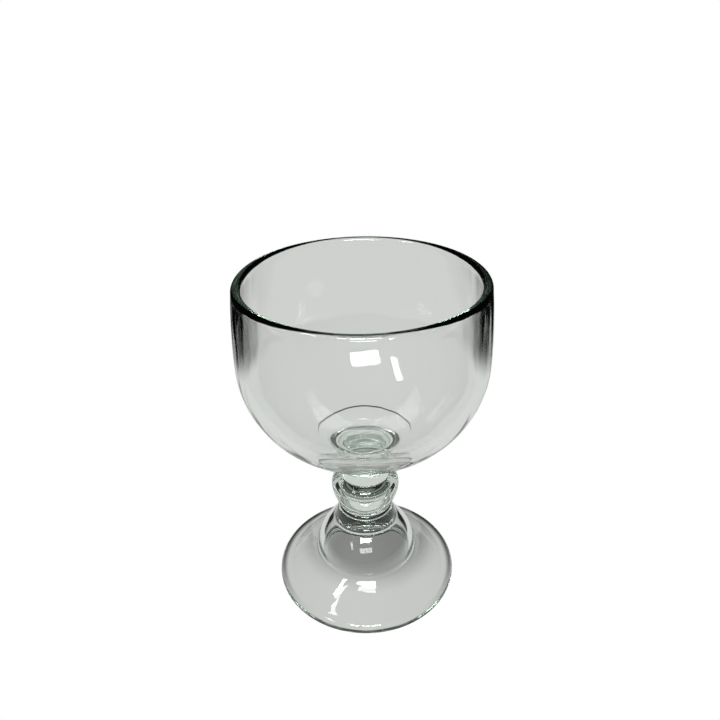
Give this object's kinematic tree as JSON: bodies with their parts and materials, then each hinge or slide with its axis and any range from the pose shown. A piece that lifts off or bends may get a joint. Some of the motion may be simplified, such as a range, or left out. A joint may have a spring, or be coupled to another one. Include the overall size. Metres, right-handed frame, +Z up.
{
  "type": "cocktail_glass",
  "caption": "Heavy clear pressed-glass footed cocktail glass with a deep round bowl, a ball knop stem and a bell-shaped hollow foot",
  "frame": {"origin": "on the glass's axis, at the centre of the bottom of its box, in the plane that the foot stands on", "axes": "+Z is up along the axis of rotation, from the foot to the rim; +X and +Y are any two square directions across it"},
  "size_m": [0.1142, 0.1142, 0.168],
  "materials": {
    "clear_glass": "polished, clear with a faint green-grey tint"
  },
  "bodies": {
    "root": {"bowl": "clear_glass", "stem_knop": "clear_glass", "foot": "clear_glass"}
  },
  "joints": []
}
